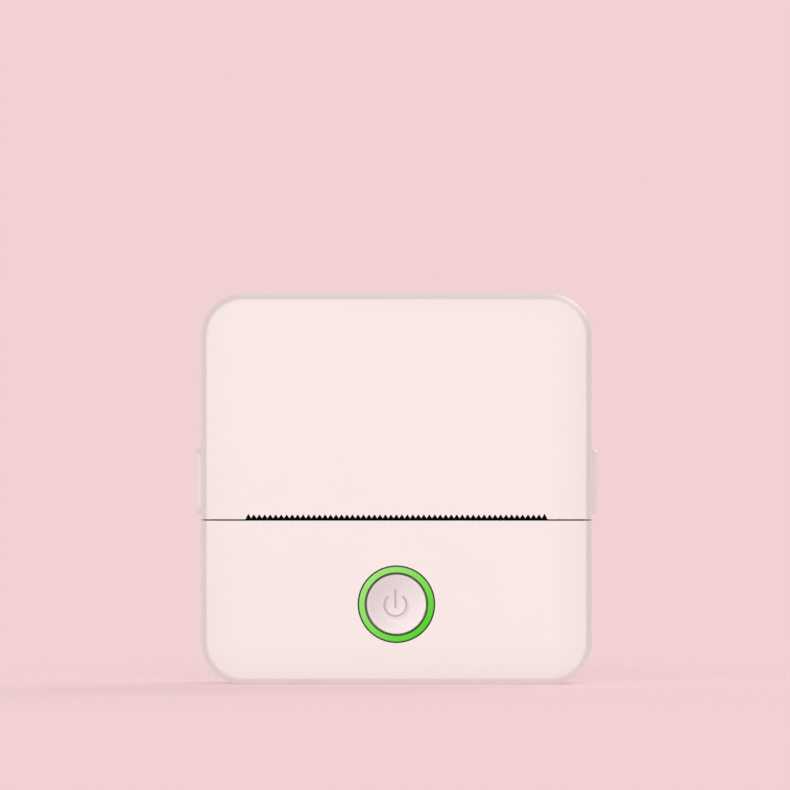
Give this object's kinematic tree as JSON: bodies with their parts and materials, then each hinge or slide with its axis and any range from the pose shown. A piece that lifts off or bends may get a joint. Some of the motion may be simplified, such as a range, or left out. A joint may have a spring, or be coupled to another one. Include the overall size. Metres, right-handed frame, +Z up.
{
  "type": "portable thermal printer",
  "caption": "Square pocket thermal printer that stands on its edge, with a serrated paper slot across the front, a round lit power button and a hinged paper cover released by side tabs.",
  "frame": {"origin": "centre of the footprint on the surface that the printer stands on", "axes": "+X to the viewer's right, +Y into the depth away from the slot, +Z up"},
  "size_m": [0.0846, 0.04, 0.082],
  "materials": {
    "shell_pink": "satin moulded ABS",
    "button_pink": "satin moulded ABS",
    "release_pink": "satin moulded ABS",
    "tear_black": "matte",
    "ring_green": "clear, lit green",
    "liner_grey": "moulded",
    "frame_black": "moulded, glass filled",
    "tray_grey": "moulded, smooth",
    "platen_rubber": "ground",
    "steel": "bright",
    "screw_steel": "black zinc",
    "spring_steel": "bright wire",
    "gear_white": "acetal",
    "brass": "machined",
    "head_aluminium": "sawn and etched",
    "head_ceramic": "glazed",
    "resin_black": "cured resin",
    "board_green": "solder mask",
    "lid_metal": "tinned",
    "part_black": "moulded",
    "connector_white": "nylon",
    "cable_film": "polyimide film",
    "cell_foil": "pouch foil",
    "tape_grey": "adhesive tape",
    "lead_red": "insulation",
    "lead_grey": "insulation",
    "sensor_black": "moulded",
    "lamp_white": "clear"
  },
  "bodies": {
    "case": {"rear_shell": "shell_pink", "front_panel": "shell_pink", "hinge_pins": "steel", "case_screws": "screw_steel", "mech_frame": "frame_black", "paper_tray": "tray_grey", "paper_sensor": "sensor_black", "gear_pins": "steel", "gear_clips": "spring_steel", "motor_can": "steel", "motor_flange": "steel", "motor_screws": "screw_steel", "motor_leads": "lead_grey", "head_springs": "spring_steel", "head_cable": "cable_film", "main_board": "board_green", "board_screws": "screw_steel", "board_parts": "part_black", "control_module": "lid_metal", "usb_socket": "lid_metal", "head_connector": "part_black", "battery_connector": "connector_white", "motor_connector": "connector_white", "battery_cell": "cell_foil", "battery_tape": "tape_grey", "battery_leads": "lead_red", "light_ring": "ring_green", "status_leds": "lamp_white", "tact_switch": "part_black", "release_spring_left": "spring_steel", "release_spring_right": "spring_steel"},
    "cover": {"top_cover": "shell_pink", "cover_liner": "liner_grey", "tear_strip": "tear_black", "liner_screws": "screw_steel", "platen_bushing_left": "brass", "platen_bushing_right": "brass"},
    "platen": {"platen_rubber": "platen_rubber", "platen_shaft": "steel", "platen_gear": "gear_white"},
    "idler": {"idler_gear": "gear_white"},
    "reduction": {"reduction_gear": "gear_white"},
    "motor_rotor": {"motor_pinion": "brass", "motor_shaft": "steel"},
    "button": {"power_button": "button_pink", "switch_plunger": "part_black"},
    "release_left": {"release_button_left": "release_pink"},
    "release_right": {"release_button_right": "release_pink"},
    "head": {"head_heat_sink": "head_aluminium", "head_substrate": "head_ceramic", "head_driver_cover": "resin_black"}
  },
  "joints": [
    {"name": "cover_hinge", "type": "hinge", "parent": "case", "child": "cover", "pos_m": [0, 0.0175, 0.0795], "axis": [-1, 0, 0], "range_deg": [0, 90]},
    {"name": "platen_spin", "type": "hinge", "parent": "cover", "child": "platen", "pos_m": [0, -0.012, 0.0398], "axis": [1, 0, 0], "continuous": true},
    {"name": "idler_spin", "type": "hinge", "parent": "case", "child": "idler", "pos_m": [0, -0.00237, 0.03264], "axis": [1, 0, 0], "continuous": true},
    {"name": "reduction_spin", "type": "hinge", "parent": "case", "child": "reduction", "pos_m": [0, 0.00269, 0.02315], "axis": [1, 0, 0], "continuous": true},
    {"name": "motor_spin", "type": "hinge", "parent": "case", "child": "motor_rotor", "pos_m": [0, 0.0104, 0.03235], "axis": [1, 0, 0], "continuous": true},
    {"name": "power_button_press", "type": "slide", "parent": "case", "child": "button", "axis": [0, 1, 0], "range_m": [0, 0.0004], "stiffness_N_per_m": 800, "springref_m": -0.0005},
    {"name": "release_left_press", "type": "slide", "parent": "case", "child": "release_left", "axis": [1, 0, 0], "range_m": [0, 0.001], "stiffness_N_per_m": 500, "springref_m": -0.001, "deforming": ["release_spring_left"]},
    {"name": "release_right_press", "type": "slide", "parent": "case", "child": "release_right", "axis": [-1, 0, 0], "range_m": [0, 0.001], "stiffness_N_per_m": 500, "springref_m": -0.001, "deforming": ["release_spring_right"]},
    {"name": "head_pivot", "type": "hinge", "parent": "case", "child": "head", "pos_m": [0, -0.0065, 0.0331], "axis": [1, 0, 0], "range_deg": [0, 2], "stiffness_Nm_per_rad": 0.2, "springref_deg": -5.73, "deforming": ["head_springs"]}
  ],
  "couplings": [
    {"joint": "idler_spin", "follows": "platen_spin", "ratio": -0.71429},
    {"joint": "reduction_spin", "follows": "platen_spin", "ratio": 1.3333},
    {"joint": "motor_spin", "follows": "platen_spin", "ratio": -4}
  ]
}
